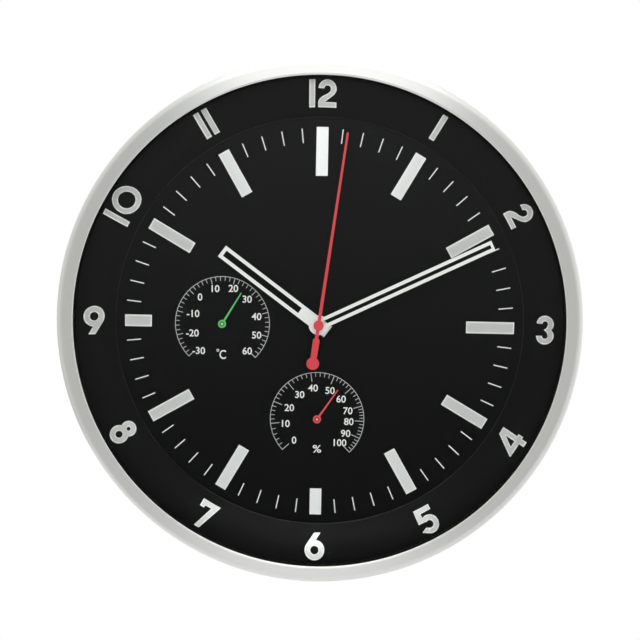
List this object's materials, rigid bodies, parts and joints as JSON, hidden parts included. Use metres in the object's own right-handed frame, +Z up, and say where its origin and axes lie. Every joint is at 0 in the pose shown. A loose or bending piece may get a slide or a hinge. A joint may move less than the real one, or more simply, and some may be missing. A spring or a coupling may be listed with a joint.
{
  "type": "thermometer hygrometer clock",
  "caption": "Round wall clock with a satin metal rim, recessed black dial, slotted hour and minute hands, red second hand, and small thermometer and hygrometer scales.",
  "frame": {"origin": "the hands' common axis where it meets the wall plane, which is the plane of the rim's rear hem", "axes": "+X to the viewer's right, +Y into the wall along the hands' axis, +Z up; the dial faces -Y"},
  "size_m": [0.3, 0.038, 0.3],
  "materials": {
    "frame_metal": "satin spun aluminium",
    "soft_rubber": "matt",
    "clear_glass": "polished clear mineral glass",
    "bowl_plastic": "satin black moulding",
    "dial_black": "satin black coated sheet",
    "bar_silver": "satin silver",
    "cover_plastic": "matt black moulding",
    "screw_steel": "zinc plated",
    "hanger_steel": "zinc plated sheet",
    "movement_plastic": "matt dark grey moulding",
    "core_iron": "bare silicon iron",
    "bobbin_plastic": "natural moulding",
    "winding_copper": "enamelled copper wire",
    "board_green": "green solder mask",
    "chip_black": "black potting",
    "can_steel": "drawn metal can",
    "cell_sleeve": "printed sleeve over a metal can",
    "contact_steel": "nickel plated spring sheet",
    "cup_plastic": "pale moulding",
    "coil_bimetal": "bare strip",
    "gauge_brass": "turned brass",
    "hand_red": "red lacquer on thin sheet",
    "hand_silver": "satin silver sheet",
    "wheel_plastic": "natural acetal",
    "magnet_ferrite": "sintered magnet",
    "knob_plastic": "red moulding",
    "needle_green": "green lacquer on thin sheet",
    "needle_red": "red lacquer on thin sheet"
  },
  "bodies": {
    "case": {"outer_frame": "frame_metal", "glass_gasket": "soft_rubber", "front_glass": "clear_glass", "dial_bowl": "bowl_plastic", "dial_plate": "dial_black", "hour_markers": "bar_silver", "back_cover": "cover_plastic", "back_cover_screws": "screw_steel", "hanger_plate": "hanger_steel", "hanger_rivets": "screw_steel", "movement_tray": "movement_plastic", "movement_lid": "movement_plastic", "movement_washer": "soft_rubber", "stator": "core_iron", "coil_core": "core_iron", "coil_bobbin": "bobbin_plastic", "coil_winding": "winding_copper", "circuit_board": "board_green", "controller_chip": "chip_black", "quartz_crystal": "can_steel", "battery_cell": "cell_sleeve", "battery_contact_positive": "contact_steel", "battery_contact_negative": "contact_steel", "thermometer_housing": "cup_plastic", "thermometer_coil": "coil_bimetal", "thermometer_bush": "gauge_brass", "hygrometer_housing": "cup_plastic", "hygrometer_coil": "coil_bimetal", "hygrometer_bush": "gauge_brass", "cup_screws": "screw_steel"},
    "seconds": {"second_hand": "hand_red", "second_wheel": "wheel_plastic"},
    "intermediate": {"intermediate_wheel": "wheel_plastic"},
    "rotor": {"rotor_magnet": "magnet_ferrite", "rotor_pinion": "wheel_plastic"},
    "third": {"third_wheel": "wheel_plastic"},
    "centre": {"centre_wheel": "wheel_plastic"},
    "minutes": {"minute_hand": "hand_silver", "cannon_pinion": "wheel_plastic"},
    "motion": {"minute_wheel": "wheel_plastic"},
    "hours": {"hour_hand": "hand_silver", "hour_wheel": "wheel_plastic"},
    "setting": {"setting_knob": "knob_plastic", "setting_arbor": "knob_plastic"},
    "temperature": {"thermometer_needle": "needle_green", "thermometer_arbor": "gauge_brass"},
    "humidity": {"hygrometer_needle": "needle_red", "hygrometer_arbor": "gauge_brass"}
  },
  "joints": [
    {"name": "second_hand_turn", "type": "hinge", "parent": "case", "child": "seconds", "pos_m": [0, 0, 0], "axis": [0, 1, 0], "continuous": true},
    {"name": "intermediate_wheel_turn", "type": "hinge", "parent": "case", "child": "intermediate", "pos_m": [-0.00935, 0, 0.0054], "axis": [0, 1, 0], "continuous": true},
    {"name": "rotor_turn", "type": "hinge", "parent": "case", "child": "rotor", "pos_m": [-0.01417, 0, 0.01228], "axis": [0, 1, 0], "continuous": true},
    {"name": "third_wheel_turn", "type": "hinge", "parent": "case", "child": "third", "pos_m": [0.00827, 0, 0.00694], "axis": [0, 1, 0], "continuous": true},
    {"name": "centre_wheel_turn", "type": "hinge", "parent": "case", "child": "centre", "pos_m": [0, 0, 0], "axis": [0, 1, 0], "continuous": true},
    {"name": "minute_hand_turn", "type": "hinge", "parent": "case", "child": "minutes", "pos_m": [0, 0, 0], "axis": [0, 1, 0], "continuous": true},
    {"name": "minute_wheel_turn", "type": "hinge", "parent": "case", "child": "motion", "pos_m": [0.00811, 0, -0.00217], "axis": [0, 1, 0], "continuous": true},
    {"name": "hour_hand_turn", "type": "hinge", "parent": "case", "child": "hours", "pos_m": [0, 0, 0], "axis": [0, 1, 0], "continuous": true},
    {"name": "setting_knob_turn", "type": "hinge", "parent": "case", "child": "setting", "pos_m": [0.01639, 0, -0.00363], "axis": [0, 1, 0], "continuous": true},
    {"name": "thermometer_needle_turn", "type": "hinge", "parent": "case", "child": "temperature", "pos_m": [-0.0563, 0, -0.0009], "axis": [0, 1, 0], "range_deg": [-166, 104], "stiffness_Nm_per_rad": 0.0002},
    {"name": "hygrometer_needle_turn", "type": "hinge", "parent": "case", "child": "humidity", "pos_m": [0, 0, -0.0559], "axis": [0, 1, 0], "range_deg": [-167, 101], "stiffness_Nm_per_rad": 0.0002}
  ],
  "couplings": [
    {"joint": "intermediate_wheel_turn", "follows": "second_hand_turn", "ratio": -5},
    {"joint": "rotor_turn", "follows": "second_hand_turn", "ratio": 30},
    {"joint": "third_wheel_turn", "follows": "second_hand_turn", "ratio": -0.125},
    {"joint": "centre_wheel_turn", "follows": "second_hand_turn", "ratio": 0.016667},
    {"joint": "minute_wheel_turn", "follows": "minute_hand_turn", "ratio": -0.33333},
    {"joint": "hour_hand_turn", "follows": "minute_hand_turn", "ratio": 0.083333},
    {"joint": "setting_knob_turn", "follows": "minute_hand_turn", "ratio": 1}
  ]
}
